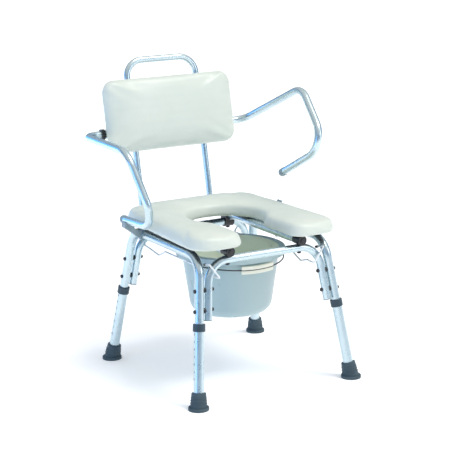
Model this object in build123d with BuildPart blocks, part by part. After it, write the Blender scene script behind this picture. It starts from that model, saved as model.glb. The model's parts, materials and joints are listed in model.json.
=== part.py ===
"""Commode chair: bent-tube frame on telescopic legs, horseshoe seat, padded back, flip-up arms and pail.

Millimetres, +Z up. The sitter faces -Y, and +X is the sitter's left. The origin is on the floor, in
the middle of the whole chair. Places are worked out from the middle of the four feet, and at() moves
them to the origin.
"""

import os
from math import cos, hypot, radians, sin, tan

from build123d import *

os.makedirs("parts", exist_ok=True)

# --- Driving dimensions ------------------------------------------------------------------------

# Stance: the legs splay outward in both directions on their way down.
FOOT_X = 250.0
FOOT_Y = 262.0
SPLAY_X = 0.121
SPLAY_Y = 0.171

# Tubes: outside diameters and walls.
SIDE_TUBE = 25.4
CROSS_TUBE = 22.2
LEG_TUBE = 28.6
RAIL_TUBE = 25.4
POST_TUBE = 19.05
PIVOT_TUBE = 28.6
ARM_TUBE = 22.2
FRAME_WALL = 1.6
LEG_WALL = 1.525

# Heights of the frame's centrelines.
SIDE_RAIL_Z = 401.0
CROSS_RAIL_Z = 386.0
SEAT_RAIL_Z = 410.0
SIDE_BEND = 62.0
CROSS_BEND = 65.0
LOOP_GAP = 4.3

# Telescopic legs.
UPPER_TUBE_END_Z = 75.0
CROSS_LEG_END_Z = 233.0
COLLAR_MID_Z = 217.0
COLLAR_HEIGHT = 21.0
COLLAR_RADIUS = 17.2
LOWEST_HOLE_Z = 82.0
HOLE_PITCH = 20.5
HOLE_COUNT = 7
BUTTON_RADIUS = 3.2
FOOT_RADIUS = 28.5
FOOT_FLANGE = 8.5
FOOT_HEIGHT = 45.0
FOOT_FLOOR = 12.0
FOOT_BODY_LOW = 24.0
FOOT_BODY_HIGH = 20.0
BOLT_HEIGHTS = (314.0, 260.0)

# Seat.
RAIL_X = 116.0
RAIL_FRONT_Y = -206.0
RAIL_REAR_Y = 252.0
BOARD_THICK = 9.5
SEAT_TOP_Z = 467.0
SEAT_FRONT_Y = -240.0
SEAT_REAR_Y = 262.0
SEAT_HALF_FRONT = 238.0
SEAT_HALF_REAR = 214.0
OPENING_RADIUS = 108.0
OPENING_Y = 8.0
SLOT_HALF = 76.0

# Back: the posts lean back from the seat.
POST_X = 116.0
POST_Y = 295.2
BACK_LEAN = 0.206
POST_BEND = 40.0
POST_FRONT_END_Y = 214.0
HANDLE_Z = 863.0
HANDLE_BEND = 52.0
BACK_MID_Z = 705.0
BACK_WIDTH = 420.0
BACK_HEIGHT = 208.0
BACK_BOARD = 6.0
BACK_CUSHION = 24.0
BACK_CORNER = 32.0

# Arms: one shape, mirrored. The sitter's left arm is swung up at rest.
PIVOT_Y = 352.0
PIVOT_Z = 658.0
PIVOT_TUBE_HALF = 211.0
BUSH_LENGTH = 42.0
BUSH_HEAD = 10.0
ARM_INNER_X = 152.0
ARM_RAISED = 23.4
ARM_CORNERS = ((271.0, PIVOT_Y, PIVOT_Z), (296.0, 36.0, 664.0), (262.0, -70.0, 462.0), (247.0, 163.0, 444.0))
ARM_BENDS = (42.0, 65.0, 60.0)

# Pail and its carrier.
PAIL_Y = -15.0
PAIL_TOP_Z = 368.0
PAIL_LIP_Z = 353.0
PAIL_FLOOR_Z = 182.0
PAIL_FLANGE = 157.0
PAIL_TOP_RADIUS = 141.0
PAIL_FLOOR_RADIUS = 114.0
PAIL_WALL = 3.0
BAIL_Z = 348.0
BAIL_RADIUS = 148.0
BAIL_WIRE = 4.0
BAIL_DROP = 4.5
CARRIER_WIRE = 5.0

# Clearances.
RUNNING = 0.075
SOFT_GAP = 0.3

SIDES = (-1, 1)
SIDE_NAMES = {-1: "right", 1: "left"}
CORNERS = {"front_right": (-1, -1), "front_left": (1, -1), "rear_right": (-1, 1), "rear_left": (1, 1)}

# --- Shared geometry ---------------------------------------------------------------------------


def post_y(z):
    """Where the leaning post's centreline is at a height."""
    return POST_Y + BACK_LEAN * (z - SEAT_RAIL_Z)


# The chair reaches from the front feet to the back of the push handle.
FRONT_Y = -(FOOT_Y + FOOT_RADIUS)
REAR_Y = post_y(HANDLE_Z) + POST_TUBE / 2
MIDDLE_Y = (FRONT_Y + REAR_Y) / 2


def at(x, y, z):
    """A place given from the middle of the feet, in the part's own frame."""
    return Vector(x, y - MIDDLE_Y, z)


def leg_point(side, end, z):
    """A place on a leg's centreline; side is -1 or 1 in X, end is -1 (front) or 1 (rear)."""
    return at(side * (FOOT_X - SPLAY_X * z), end * (FOOT_Y - SPLAY_Y * z), z)


def leg_plane(side, end, z):
    """A plane square to a leg, its normal pointing up the leg and its x axis pointing outward."""
    up = Vector(-side * SPLAY_X, -end * SPLAY_Y, 1)
    return Plane(origin=leg_point(side, end, z), x_dir=Vector(side, 0, SPLAY_X), z_dir=up)


LEG_STRETCH = hypot(1, SPLAY_X, SPLAY_Y)
LOOP_OFFSET = SIDE_TUBE / 2 + CROSS_TUBE / 2 + LOOP_GAP


def cross_leg_point(side, end, z):
    """A place on a cross loop's short leg, which runs beside the side loop's leg."""
    return leg_point(side, end, z) - Vector(side * LOOP_OFFSET, 0, 0)


def bent_rod(points, bends, diameter, wall=0.0):
    """A round rod, or a tube where it has a wall, bent along straight runs joined by arcs."""
    with BuildPart() as rod:
        with BuildLine() as route:
            FilletPolyline(*points, radius=bends)
        start = Plane(origin=route.line @ 0, z_dir=route.line % 0)
        with BuildSketch(start):
            Circle(diameter / 2)
            if wall:
                Circle(diameter / 2 - wall, mode=Mode.SUBTRACT)
        sweep()
    return rod.part


def save(piece, name):
    """Name a finished piece and write it."""
    piece.label = name
    export_step(piece, f"parts/{name}.step")


def along_x(x, y, z, direction=1):
    """A plane whose normal points along X, for bolts and pins that lie across the chair."""
    return Plane(origin=at(x, y, z), x_dir=(0, 1, 0), z_dir=(direction, 0, 0))


def domed_head(plane, radius, height):
    """A round head or cap nut standing on a plane, with its far edge rounded."""
    with BuildPart() as head:
        with BuildSketch(plane):
            Circle(radius)
        extrude(amount=height)
        far_edge = head.edges().sort_by(Axis(plane.origin, plane.z_dir))[-1]
        fillet(far_edge, min(radius, height) * 0.6)
    return head.part


def rod_between(start, end, diameter):
    """A straight round rod, used to cut a saddle or a hole."""
    with BuildPart() as rod:
        with BuildSketch(Plane(origin=start, z_dir=end - start)):
            Circle(diameter / 2)
        extrude(amount=(end - start).length)
    return rod.part


# --- Frame: two side loops and two cross loops --------------------------------------------------

BOLT_RADIUS = 3.0
BOLT_HOLE = BOLT_RADIUS + 0.1


def side_loop_points(side):
    """Down the front leg, along the seat's side and down the rear leg."""
    return [
        leg_point(side, -1, UPPER_TUBE_END_Z),
        leg_point(side, -1, SIDE_RAIL_Z),
        leg_point(side, 1, SIDE_RAIL_Z),
        leg_point(side, 1, UPPER_TUBE_END_Z),
    ]


def cross_loop_points(end):
    """Up one short leg, across under the seat and down the other short leg."""
    return [
        cross_leg_point(-1, end, CROSS_LEG_END_Z),
        cross_leg_point(-1, end, CROSS_RAIL_Z),
        cross_leg_point(1, end, CROSS_RAIL_Z),
        cross_leg_point(1, end, CROSS_LEG_END_Z),
    ]


def leg_bolt_holes(side, end):
    """Rods that cut one leg's bolt holes through both loops."""
    rods = []
    for z in BOLT_HEIGHTS:
        inner = cross_leg_point(side, end, z) - Vector(side * CROSS_TUBE, 0, 0)
        outer = leg_point(side, end, z) + Vector(side * SIDE_TUBE, 0, 0)
        rods.append(rod_between(inner, outer, 2 * BOLT_HOLE))
    return rods


side_rods = {side: bent_rod(side_loop_points(side), SIDE_BEND, SIDE_TUBE) for side in SIDES}
cross_rods = {end: bent_rod(cross_loop_points(end), CROSS_BEND, CROSS_TUBE) for end in SIDES}


def button_hole(side, end, z, radius):
    """A rod that drills the outer wall of a leg at one of its height holes."""
    start = leg_point(side, end, z) + Vector(side * LEG_TUBE / 4, 0, 0)
    return rod_between(start, start + Vector(side * LEG_TUBE, 0, 0), 2 * radius)


for side in SIDES:
    tube = bent_rod(side_loop_points(side), SIDE_BEND, SIDE_TUBE, FRAME_WALL)
    with BuildPart() as side_loop:
        add(tube)
        for end in SIDES:
            for rod in leg_bolt_holes(side, end):
                add(rod, mode=Mode.SUBTRACT)
            add(button_hole(side, end, LOWEST_HOLE_Z, BUTTON_RADIUS + RUNNING), mode=Mode.SUBTRACT)
    save(side_loop.part, f"side_loop_{SIDE_NAMES[side]}")

CAP_RADIUS = 14.0
RAIL_BOLT_Y = FOOT_Y - SPLAY_Y * CROSS_RAIL_Z
NUT_HEIGHT = 4.0
RAIL_BOLT_LOW_Z = CROSS_RAIL_Z - CROSS_TUBE / 2 - NUT_HEIGHT
RAIL_BOLT_TOP_Z = SEAT_RAIL_Z + CAP_RADIUS + 3.3


def upright_rod(x, y, low, high, radius):
    """A vertical rod, for the bolts and holes that go down through the rails."""
    return rod_between(at(x, y, low), at(x, y, high), 2 * radius)


for end, name in ((-1, "front_cross_loop"), (1, "rear_cross_loop")):
    tube = bent_rod(cross_loop_points(end), CROSS_BEND, CROSS_TUBE, FRAME_WALL)
    with BuildPart() as cross_loop:
        add(tube)
        for side in SIDES:
            for rod in leg_bolt_holes(side, end):
                add(rod, mode=Mode.SUBTRACT)
            hole = upright_rod(side * RAIL_X, end * RAIL_BOLT_Y, RAIL_BOLT_LOW_Z, RAIL_BOLT_TOP_Z, BOLT_HOLE)
            add(hole, mode=Mode.SUBTRACT)
    save(cross_loop.part, name)

PLUG_LENGTH = 10.0
PLUG_HEAD = 2.5
with BuildPart() as cross_loop_plugs:
    for side, end in CORNERS.values():
        mouth = Plane(origin=cross_leg_point(side, end, CROSS_LEG_END_Z),
                      z_dir=leg_plane(side, end, CROSS_LEG_END_Z).z_dir)
        with BuildSketch(mouth.offset(-PLUG_HEAD)):
            Circle(CROSS_TUBE / 2)
        extrude(amount=PLUG_HEAD)
        with BuildSketch(mouth):
            Circle(CROSS_TUBE / 2 - FRAME_WALL)
        extrude(amount=PLUG_LENGTH)
save(cross_loop_plugs.part, "cross_loop_plugs")

# --- Fasteners of the four legs: bolts, spacers and cap nuts ------------------------------------

HEAD_RADIUS = 5.6
HEAD_HEIGHT = 5.5
SPACER_RADIUS = 7.0
SEAT_DEPTH = 1.0
SHANK_GRIP = 4.0

bolt_heads = []
cap_nuts = []
spacers = []
shanks = []
for side, end in CORNERS.values():
    for z in BOLT_HEIGHTS:
        outer = leg_point(side, end, z) + Vector(side * (SIDE_TUBE / 2 - SEAT_DEPTH), 0, 0)
        inner = cross_leg_point(side, end, z) - Vector(side * (CROSS_TUBE / 2 - SEAT_DEPTH), 0, 0)
        middle = leg_point(side, end, z) - Vector(side * (SIDE_TUBE / 2 + LOOP_GAP / 2), 0, 0)
        half = Vector(side * (LOOP_GAP / 2 + SEAT_DEPTH), 0, 0)
        outward = Plane(origin=outer, x_dir=(0, 1, 0), z_dir=(side, 0, 0))
        inward = Plane(origin=inner, x_dir=(0, 1, 0), z_dir=(-side, 0, 0))
        bolt_heads.append(domed_head(outward, HEAD_RADIUS, HEAD_HEIGHT))
        cap_nuts.append(domed_head(inward, HEAD_RADIUS, HEAD_HEIGHT + 1))
        spacers.append(rod_between(middle - half, middle + half, 2 * SPACER_RADIUS))
        grip = Vector(side * SHANK_GRIP, 0, 0)
        shanks.append(rod_between(inner - grip, outer + grip, 2 * BOLT_RADIUS))

with BuildPart() as leg_bolts:
    add(bolt_heads)
    add(side_rods.values(), mode=Mode.SUBTRACT)
    add(shanks)
save(leg_bolts.part, "leg_bolts")

with BuildPart() as leg_cap_nuts:
    add(cap_nuts)
    add(cross_rods.values(), mode=Mode.SUBTRACT)
    add(shanks, mode=Mode.SUBTRACT)
save(leg_cap_nuts.part, "leg_cap_nuts")

with BuildPart() as leg_spacers:
    add(spacers)
    add(side_rods.values(), mode=Mode.SUBTRACT)
    add(cross_rods.values(), mode=Mode.SUBTRACT)
    add(shanks, mode=Mode.SUBTRACT)
save(leg_spacers.part, "leg_spacers")

# --- Telescopic lower legs with collars, feet and snap buttons ----------------------------------

COLLAR_LIP = 4.0
BUTTON_DOME = 3.0
BUTTON_FLANGE = 1.6
BUTTON_FLANGE_RADIUS = 5.0
BUTTON_INSIDE = 3.2
BUTTON_ROUND = 2.4

LEG_BASE = FOOT_FLOOR * LEG_STRETCH
COLLAR_TOP = (COLLAR_MID_Z + COLLAR_HEIGHT / 2) * LEG_STRETCH
COLLAR_BOTTOM = (COLLAR_MID_Z - COLLAR_HEIGHT / 2) * LEG_STRETCH
LEG_TOP = COLLAR_TOP - COLLAR_LIP
FOOT_TOP = FOOT_HEIGHT * LEG_STRETCH

for corner, (side, end) in CORNERS.items():
    ground = leg_plane(side, end, 0)

    with BuildPart() as lower_leg:
        with BuildSketch(ground.offset(LEG_BASE)):
            Circle(LEG_TUBE / 2)
            Circle(LEG_TUBE / 2 - LEG_WALL, mode=Mode.SUBTRACT)
        extrude(amount=LEG_TOP - LEG_BASE)
        for step in range(HOLE_COUNT):
            height = LOWEST_HOLE_Z + step * HOLE_PITCH / LEG_STRETCH
            add(button_hole(side, end, height, BUTTON_RADIUS + RUNNING), mode=Mode.SUBTRACT)
    save(lower_leg.part, f"lower_leg_{corner}")

    with BuildPart() as collar:
        with BuildSketch(ground.offset(COLLAR_BOTTOM)):
            Circle(COLLAR_RADIUS)
        extrude(amount=COLLAR_TOP - COLLAR_BOTTOM)
        fillet(collar.edges().filter_by(GeomType.CIRCLE), 1.6)
        with BuildSketch(ground.offset(COLLAR_BOTTOM)):
            Circle(LEG_TUBE / 2)
        extrude(amount=LEG_TOP - COLLAR_BOTTOM, mode=Mode.SUBTRACT)
        with BuildSketch(ground.offset(LEG_TOP)):
            Circle(SIDE_TUBE / 2 + RUNNING)
        extrude(amount=COLLAR_LIP, mode=Mode.SUBTRACT)
    save(collar.part, f"leg_collar_{corner}")

    with BuildPart() as foot:
        with BuildSketch(ground.offset(-COLLAR_LIP)):
            Circle(FOOT_BODY_LOW)
        with BuildSketch(ground.offset(FOOT_TOP)):
            Circle(FOOT_BODY_HIGH)
        loft()
        fillet(foot.edges().sort_by(Axis.Z)[-1], 2.0)
        split(bisect_by=Plane.XY, keep=Keep.TOP)
        with BuildSketch(Plane(at(side * FOOT_X, end * FOOT_Y, 0))):
            Circle(FOOT_RADIUS)
        flange = extrude(amount=FOOT_FLANGE)
        fillet(flange.edges().sort_by(Axis.Z)[-1:], 2.5)
        with BuildSketch(ground.offset(LEG_BASE)):
            Circle(LEG_TUBE / 2)
        extrude(amount=FOOT_TOP, mode=Mode.SUBTRACT)
    save(foot.part, f"rubber_foot_{corner}")

    button_axis = leg_point(side, end, LOWEST_HOLE_Z)
    inner_wall = SIDE_TUBE / 2 - FRAME_WALL
    outward = Plane(origin=button_axis, x_dir=(0, 1, 0), z_dir=(side, 0, 0))
    flange_start = inner_wall - BUTTON_INSIDE
    with BuildPart() as button:
        with BuildSketch(outward.offset(flange_start)):
            Circle(BUTTON_FLANGE_RADIUS)
        extrude(amount=BUTTON_FLANGE)
        with BuildSketch(outward.offset(flange_start)):
            Circle(BUTTON_RADIUS)
        extrude(amount=LEG_TUBE / 2 + BUTTON_DOME - flange_start)
        fillet(button.edges().sort_by(Axis(outward.origin, outward.z_dir))[-1], BUTTON_ROUND)
    save(button.part, f"leg_button_{corner}")

# --- Seat rails with their front caps, rear clamps and bolts ------------------------------------

CAP_LENGTH = 34.0
CAP_FRONT_Y = -216.0
CAP_BOSS_RADIUS = 6.5
CAP_BOSS_HEIGHT = 2.5
CLAMP_WALL = 4.0
CLAMP_WIDTH = 30.0
LOCK_Y = 236.0
LOCK_RADIUS = 2.5
RAIL_SCREW_YS = (-80.0, 100.0, 175.0)
SCREW_RADIUS = 2.2
SCREW_HEAD = 2.6
BOARD_LOW_Z = SEAT_RAIL_Z + CAP_RADIUS + SOFT_GAP
SLEEVE_LENGTH = 36.0
SLEEVE_LIP = 3.0


def along_rail(side, y):
    """A plane across a seat rail, its normal pointing to the rear."""
    return Plane(origin=at(side * RAIL_X, y, SEAT_RAIL_Z), x_dir=(1, 0, 0), z_dir=(0, 1, 0))


rail_rods = {
    side: rod_between(along_rail(side, RAIL_FRONT_Y).origin, along_rail(side, RAIL_REAR_Y).origin, RAIL_TUBE)
    for side in SIDES
}
rail_bolt_rods = [
    upright_rod(side * RAIL_X, end * RAIL_BOLT_Y, RAIL_BOLT_LOW_Z, RAIL_BOLT_TOP_Z, BOLT_RADIUS)
    for side, end in CORNERS.values()
]
rail_bolt_holes = [
    upright_rod(side * RAIL_X, end * RAIL_BOLT_Y, RAIL_BOLT_LOW_Z, RAIL_BOLT_TOP_Z, BOLT_HOLE)
    for side, end in CORNERS.values()
]

for side in SIDES:
    with BuildPart() as seat_rail:
        with BuildSketch(along_rail(side, RAIL_FRONT_Y)):
            Circle(RAIL_TUBE / 2)
            Circle(RAIL_TUBE / 2 - FRAME_WALL, mode=Mode.SUBTRACT)
        extrude(amount=RAIL_REAR_Y - RAIL_FRONT_Y)
        add(rail_bolt_holes, mode=Mode.SUBTRACT)
        for y in RAIL_SCREW_YS:
            low = SEAT_RAIL_Z - RAIL_TUBE
            high = SEAT_RAIL_Z + RAIL_TUBE
            add(upright_rod(side * RAIL_X, y, low, high, SCREW_RADIUS + 0.1), mode=Mode.SUBTRACT)
        lock = along_x(0, LOCK_Y, SEAT_RAIL_Z, side)
        with BuildSketch(lock.offset(RAIL_X)):
            Circle(LOCK_RADIUS + 0.1)
        extrude(amount=RAIL_TUBE, mode=Mode.SUBTRACT)
    save(seat_rail.part, f"seat_rail_{SIDE_NAMES[side]}")

with BuildPart() as rail_end_caps:
    for side in SIDES:
        with BuildSketch(along_rail(side, CAP_FRONT_Y)):
            Circle(CAP_RADIUS)
        extrude(amount=CAP_LENGTH)
    fillet(rail_end_caps.edges().group_by(Axis.Y)[0], 2.0)
    for side in SIDES:
        with BuildSketch(along_rail(side, CAP_FRONT_Y - CAP_BOSS_HEIGHT)):
            Circle(CAP_BOSS_RADIUS)
        extrude(amount=2 * CAP_BOSS_HEIGHT)
    fillet(rail_end_caps.edges().group_by(Axis.Y)[0], 1.0)
    add(rail_rods.values(), mode=Mode.SUBTRACT)
    add(cross_rods.values(), mode=Mode.SUBTRACT)
    add(rail_bolt_holes, mode=Mode.SUBTRACT)
save(rail_end_caps.part, "rail_end_caps")

with BuildPart() as rear_rail_clamps:
    for side in SIDES:
        ring = along_x(side * RAIL_X, RAIL_BOLT_Y, CROSS_RAIL_Z)
        with BuildSketch(ring.offset(-CLAMP_WIDTH / 2)):
            Circle(CROSS_TUBE / 2 + CLAMP_WALL)
        extrude(amount=CLAMP_WIDTH)
        with BuildSketch(along_rail(side, RAIL_BOLT_Y - CLAMP_WIDTH / 2)):
            Rectangle(CLAMP_WIDTH, SEAT_RAIL_Z - CROSS_RAIL_Z, align=(Align.CENTER, Align.MIN))
        extrude(amount=CLAMP_WIDTH)
    add(rail_rods.values(), mode=Mode.SUBTRACT)
    add(cross_rods.values(), mode=Mode.SUBTRACT)
    add(rail_bolt_holes, mode=Mode.SUBTRACT)
save(rear_rail_clamps.part, "rear_rail_clamps")

BOLT_TOP_RADIUS = 6.5
BOLT_TOP_HEIGHT = 3.0
with BuildPart() as rail_bolts:
    add(rail_bolt_rods)
    for side, end in CORNERS.values():
        with BuildSketch(Plane(at(side * RAIL_X, end * RAIL_BOLT_Y, RAIL_BOLT_TOP_Z - BOLT_TOP_HEIGHT))):
            Circle(BOLT_TOP_RADIUS)
        extrude(amount=BOLT_TOP_HEIGHT)
save(rail_bolts.part, "rail_bolts")

rail_nut_solids = []
for side, end in CORNERS.values():
    lowest = CROSS_RAIL_Z - CROSS_TUBE / 2 - (CLAMP_WALL if end == 1 else 0) + SEAT_DEPTH
    below = Plane(origin=at(side * RAIL_X, end * RAIL_BOLT_Y, lowest), x_dir=(1, 0, 0), z_dir=(0, 0, -1))
    rail_nut_solids.append(domed_head(below, HEAD_RADIUS + 0.6, NUT_HEIGHT + SEAT_DEPTH + 1))
with BuildPart() as rail_nuts:
    add(rail_nut_solids)
    add(cross_rods.values(), mode=Mode.SUBTRACT)
    add(rear_rail_clamps.part, mode=Mode.SUBTRACT)
    add(rail_bolt_rods, mode=Mode.SUBTRACT)
save(rail_nuts.part, "rail_nuts")

# --- Seat: a plywood board and a horseshoe cushion wrapped over its edges -------------------------

REAR_CORNER = 78.0
FRONT_CORNER = 62.0
LOBE_INNER_CORNER = 44.0
NECK_CORNER = 30.0
BOARD_INSET = 15.0
CUSHION_EDGE = 13.0


def slot_corners(outline):
    """The outline's corners that lie on the slot's two sides."""
    return [v for v in outline.vertices() if abs(abs(v.X) - SLOT_HALF) < 0.01]


def horseshoe(inset):
    """The seat's outline, open to the front, drawn smaller by an inset all round."""
    front = SEAT_FRONT_Y
    rear = SEAT_REAR_Y
    with BuildSketch() as outline:
        with BuildLine():
            Polyline(
                (-SEAT_HALF_FRONT, front), (SEAT_HALF_FRONT, front), (SEAT_HALF_REAR, rear),
                (-SEAT_HALF_REAR, rear), close=True,
            )
        make_face()
        fillet(outline.vertices().group_by(Axis.Y)[-1], REAR_CORNER)
        with Locations((0, OPENING_Y)):
            Circle(OPENING_RADIUS, mode=Mode.SUBTRACT)
        with Locations((0, (front + OPENING_Y) / 2)):
            Rectangle(2 * SLOT_HALF, OPENING_Y - front, mode=Mode.SUBTRACT)
        tips = outline.vertices().group_by(Axis.Y)[0].sort_by(Axis.X)
        fillet([tips[0], tips[-1]], FRONT_CORNER)
        slot_tips = [v for v in slot_corners(outline) if abs(v.Y - front) < 0.01]
        fillet(slot_tips, LOBE_INNER_CORNER)
        necks = [v for v in slot_corners(outline) if v.Y > front + 2 * LOBE_INNER_CORNER]
        fillet(necks, NECK_CORNER)
        if inset:
            offset(amount=-inset, kind=Kind.ARC)
    return outline.sketch


def placed(sketch, height):
    """A flat outline moved to a height in the part's own frame."""
    return sketch.moved(Location(at(0, 0, height)))


with BuildPart() as board_blank:
    add(placed(horseshoe(BOARD_INSET), BOARD_LOW_Z))
    extrude(amount=BOARD_THICK)

with BuildPart() as seat_board:
    add(board_blank.part)
    for side, end in CORNERS.values():
        add(upright_rod(side * RAIL_X, end * RAIL_BOLT_Y, BOARD_LOW_Z - 1, RAIL_BOLT_TOP_Z + SOFT_GAP,
                        BOLT_TOP_RADIUS + SOFT_GAP), mode=Mode.SUBTRACT)
    for side in SIDES:
        for y in RAIL_SCREW_YS:
            add(upright_rod(side * RAIL_X, y, BOARD_LOW_Z - 1, BOARD_LOW_Z + BOARD_THICK - 1.5, SCREW_RADIUS),
                mode=Mode.SUBTRACT)
save(seat_board.part, "seat_board")

with BuildPart() as seat_screws:
    for side in SIDES:
        for y in RAIL_SCREW_YS:
            low = SEAT_RAIL_Z - RAIL_TUBE / 2 - SCREW_HEAD
            add(upright_rod(side * RAIL_X, y, low + 1, BOARD_LOW_Z + BOARD_THICK - 1.5, SCREW_RADIUS))
            add(upright_rod(side * RAIL_X, y, low, low + SCREW_HEAD, 2 * SCREW_RADIUS))
save(seat_screws.part, "seat_screws")

with BuildPart() as seat_cushion:
    add(placed(horseshoe(0), BOARD_LOW_Z))
    extrude(amount=SEAT_TOP_Z - BOARD_LOW_Z)
    flat_edges = seat_cushion.edges().group_by(Axis.Z)
    fillet(flat_edges[-1], CUSHION_EDGE)
    fillet(seat_cushion.edges().group_by(Axis.Z)[0], BOARD_INSET * 0.7)
    add(board_blank.part, mode=Mode.SUBTRACT)
save(seat_cushion.part, "seat_cushion")

# --- Back frame: one bent tube makes both posts and the push handle ------------------------------


def post_point(side, z):
    """A place on a back post's centreline."""
    return at(side * POST_X, post_y(z), z)


back_points = [
    at(-POST_X, POST_FRONT_END_Y, SEAT_RAIL_Z),
    post_point(-1, SEAT_RAIL_Z),
    post_point(-1, HANDLE_Z),
    post_point(1, HANDLE_Z),
    post_point(1, SEAT_RAIL_Z),
    at(POST_X, POST_FRONT_END_Y, SEAT_RAIL_Z),
]
back_bends = [POST_BEND, HANDLE_BEND, HANDLE_BEND, POST_BEND]
back_rod = bent_rod(back_points, back_bends, POST_TUBE)

lean = hypot(1, BACK_LEAN)
forward = Vector(0, -1, BACK_LEAN) / lean
back_plane = Plane(origin=at(0, post_y(BACK_MID_Z), BACK_MID_Z), x_dir=(1, 0, 0), z_dir=forward)

BACK_SCREW_STEPS = (20.0, 82.0)
BACK_SCREW_RADIUS = 2.2
BACK_SCREW_HEAD = 4.6


def back_screw_rod(side, step, start, end, radius):
    """A rod square to the leaning back, from one depth to another, through a post."""
    with BuildPart() as rod:
        with BuildSketch(back_plane.offset(start)):
            with Locations((side * POST_X, step)):
                Circle(radius)
        extrude(amount=end - start)
    return rod.part


pivot_centre = at(0, PIVOT_Y, PIVOT_Z)
TUBE_SCREW_START = -(PIVOT_TUBE + POST_TUBE) / 2
TUBE_SCREW_STEP = (PIVOT_Z - BACK_MID_Z) * lean

back_holes = [back_screw_rod(side, step, -POST_TUBE, POST_TUBE, BACK_SCREW_RADIUS + 0.1)
              for side in SIDES for step in BACK_SCREW_STEPS]
tube_screw_holes = [back_screw_rod(side, TUBE_SCREW_STEP, 2 * TUBE_SCREW_START, 2.0, BACK_SCREW_RADIUS + 0.1)
                    for side in SIDES]


def lock_rod(side, start, end, radius):
    """A rod along X at a seat rail's rear end, for the screw that locks the back in place."""
    return rod_between(at(side * start, LOCK_Y, SEAT_RAIL_Z), at(side * end, LOCK_Y, SEAT_RAIL_Z), 2 * radius)


LOCK_INNER = RAIL_X + 2.0
LOCK_OUTER = RAIL_X + RAIL_TUBE / 2 + 3.0
with BuildPart() as back_tube:
    add(bent_rod(back_points, back_bends, POST_TUBE, FRAME_WALL))
    add(back_holes, mode=Mode.SUBTRACT)
    add(tube_screw_holes, mode=Mode.SUBTRACT)
    for side in SIDES:
        add(lock_rod(side, LOCK_INNER, LOCK_OUTER, LOCK_RADIUS + 0.1), mode=Mode.SUBTRACT)
save(back_tube.part, "back_tube")

with BuildPart() as back_tube_sleeves:
    for side in SIDES:
        with BuildSketch(along_rail(side, RAIL_REAR_Y - SLEEVE_LENGTH)):
            Circle(RAIL_TUBE / 2 - FRAME_WALL)
            Circle(POST_TUBE / 2, mode=Mode.SUBTRACT)
        extrude(amount=SLEEVE_LENGTH)
        with BuildSketch(along_rail(side, RAIL_REAR_Y)):
            Circle(RAIL_TUBE / 2)
            Circle(POST_TUBE / 2, mode=Mode.SUBTRACT)
        extrude(amount=SLEEVE_LIP)
        add(lock_rod(side, LOCK_INNER, LOCK_OUTER, LOCK_RADIUS + 0.1), mode=Mode.SUBTRACT)
    add(back_rod, mode=Mode.SUBTRACT)
save(back_tube_sleeves.part, "back_tube_sleeves")

with BuildPart() as back_lock_screws:
    for side in SIDES:
        add(lock_rod(side, LOCK_INNER, LOCK_OUTER, LOCK_RADIUS))
        head = along_x(side * (RAIL_X + RAIL_TUBE / 2 + 0.4), LOCK_Y, SEAT_RAIL_Z, side)
        add(domed_head(head, 2 * LOCK_RADIUS, SCREW_HEAD))
save(back_lock_screws.part, "back_lock_screws")

# --- Backrest: a board screwed to the posts, and a cushion wrapped over its edges -----------------

BOARD_START = POST_TUBE / 2 + 0.1
BOARD_END = BOARD_START + BACK_BOARD
CUSHION_END = BOARD_END + BACK_CUSHION
BACK_WRAP = 6.0
BACK_EDGE = 11.0

with BuildPart() as back_blank:
    with BuildSketch(back_plane.offset(BOARD_START)):
        RectangleRounded(BACK_WIDTH - 2 * BACK_WRAP, BACK_HEIGHT - 2 * BACK_WRAP, BACK_CORNER - BACK_WRAP)
    extrude(amount=BACK_BOARD)

with BuildPart() as back_board:
    add(back_blank.part)
    for side in SIDES:
        for step in BACK_SCREW_STEPS:
            add(back_screw_rod(side, step, 0, BOARD_END - 1, BACK_SCREW_RADIUS), mode=Mode.SUBTRACT)
save(back_board.part, "back_board")

with BuildPart() as back_cushion:
    with BuildSketch(back_plane.offset(BOARD_START)):
        RectangleRounded(BACK_WIDTH, BACK_HEIGHT, BACK_CORNER)
    extrude(amount=CUSHION_END - BOARD_START)
    fillet(back_cushion.faces().sort_by(Axis(back_plane.origin, back_plane.z_dir))[-1].edges(), BACK_EDGE)
    fillet(back_cushion.faces().sort_by(Axis(back_plane.origin, back_plane.z_dir))[0].edges(), BACK_WRAP / 2)
    add(back_blank.part, mode=Mode.SUBTRACT)
save(back_cushion.part, "back_cushion")

with BuildPart() as back_screws:
    for side in SIDES:
        for step in BACK_SCREW_STEPS:
            add(back_screw_rod(side, step, -POST_TUBE / 2 - 1, BOARD_END - 1, BACK_SCREW_RADIUS))
            add(back_screw_rod(side, step, -POST_TUBE / 2 - SCREW_HEAD, -POST_TUBE / 2, BACK_SCREW_HEAD))
    add(back_rod, mode=Mode.SUBTRACT)
    for side in SIDES:
        for step in BACK_SCREW_STEPS:
            add(back_screw_rod(side, step, -POST_TUBE / 2 - 1, BOARD_END - 1, BACK_SCREW_RADIUS))
save(back_screws.part, "back_screws")

# --- Arm pivot: a cross tube notched over the posts, with a flanged bush in each end --------------

BUSH_HEAD_RADIUS = 16.0

with BuildPart() as arm_pivot_tube:
    with BuildSketch(along_x(-PIVOT_TUBE_HALF, PIVOT_Y, PIVOT_Z)):
        Circle(PIVOT_TUBE / 2)
        Circle(PIVOT_TUBE / 2 - FRAME_WALL, mode=Mode.SUBTRACT)
    extrude(amount=2 * PIVOT_TUBE_HALF)
    add(back_rod, mode=Mode.SUBTRACT)
    add(tube_screw_holes, mode=Mode.SUBTRACT)
save(arm_pivot_tube.part, "arm_pivot_tube")

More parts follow.
